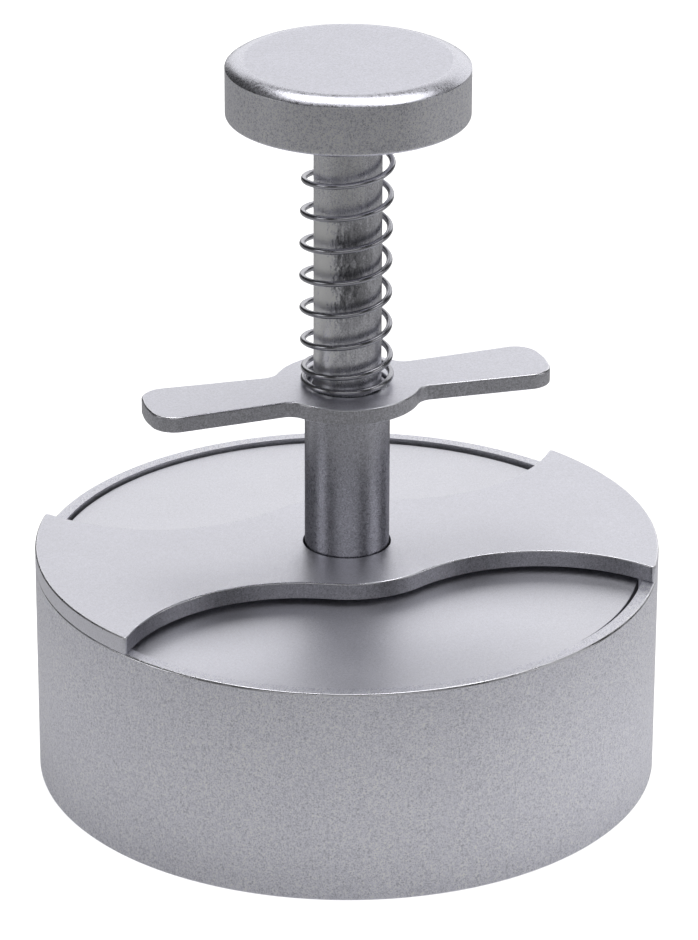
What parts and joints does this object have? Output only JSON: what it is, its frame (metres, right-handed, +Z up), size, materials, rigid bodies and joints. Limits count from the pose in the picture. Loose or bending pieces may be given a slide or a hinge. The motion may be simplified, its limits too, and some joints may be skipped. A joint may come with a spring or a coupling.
{
  "type": "hand patty press",
  "caption": "Spring-return hand patty press: open mould ring, bridge plate, guide sleeve with winged finger grip, and a plunger with round knob and press plate.",
  "frame": {"origin": "on the plunger's axis, at the plane the mould ring stands on", "axes": "+Z up along the plunger's axis, towards the knob; X along the bridge plate and the wings"},
  "size_m": [0.118, 0.118, 0.1415],
  "materials": {
    "ring_satin": "bead-blasted satin",
    "plate_satin": "bead-blasted satin",
    "bridge_satin": "bead-blasted satin, bright cut edges",
    "wing_satin": "bead-blasted satin, bright cut edges",
    "sleeve_satin": "satin",
    "rod_worn": "satin, scuffed where it slides",
    "knob_satin": "bead-blasted satin",
    "spring_steel": "dark polished spring wire",
    "fixing_steel": "plain stainless",
    "stop_rubber": "matt black"
  },
  "bodies": {
    "frame": {"mould_ring": "ring_satin", "bridge_plate": "bridge_satin", "rim_pin_1": "fixing_steel", "rim_pin_2": "fixing_steel", "rim_pin_3": "fixing_steel", "rim_pin_4": "fixing_steel", "guide_sleeve": "sleeve_satin", "sleeve_lock_ring": "fixing_steel", "wing_grip": "wing_satin", "wing_set_screw": "fixing_steel", "return_spring": "spring_steel"},
    "thrust_washer": {"spring_top_washer": "fixing_steel"},
    "plunger": {"plunger_rod": "rod_worn", "press_plate": "plate_satin", "plate_screw": "fixing_steel", "stop_o_ring": "stop_rubber", "press_knob": "knob_satin", "knob_stud": "fixing_steel"}
  },
  "joints": [
    {"name": "plunger_slide", "type": "slide", "parent": "frame", "child": "thrust_washer", "axis": [0, 0, -1], "range_m": [0, 0.0349], "stiffness_N_per_m": 510, "springref_m": -0.012, "deforming": ["return_spring"]},
    {"name": "plunger_turn", "type": "hinge", "parent": "thrust_washer", "child": "plunger", "pos_m": [0, 0, 0.13075], "axis": [0, 0, 1], "continuous": true}
  ]
}
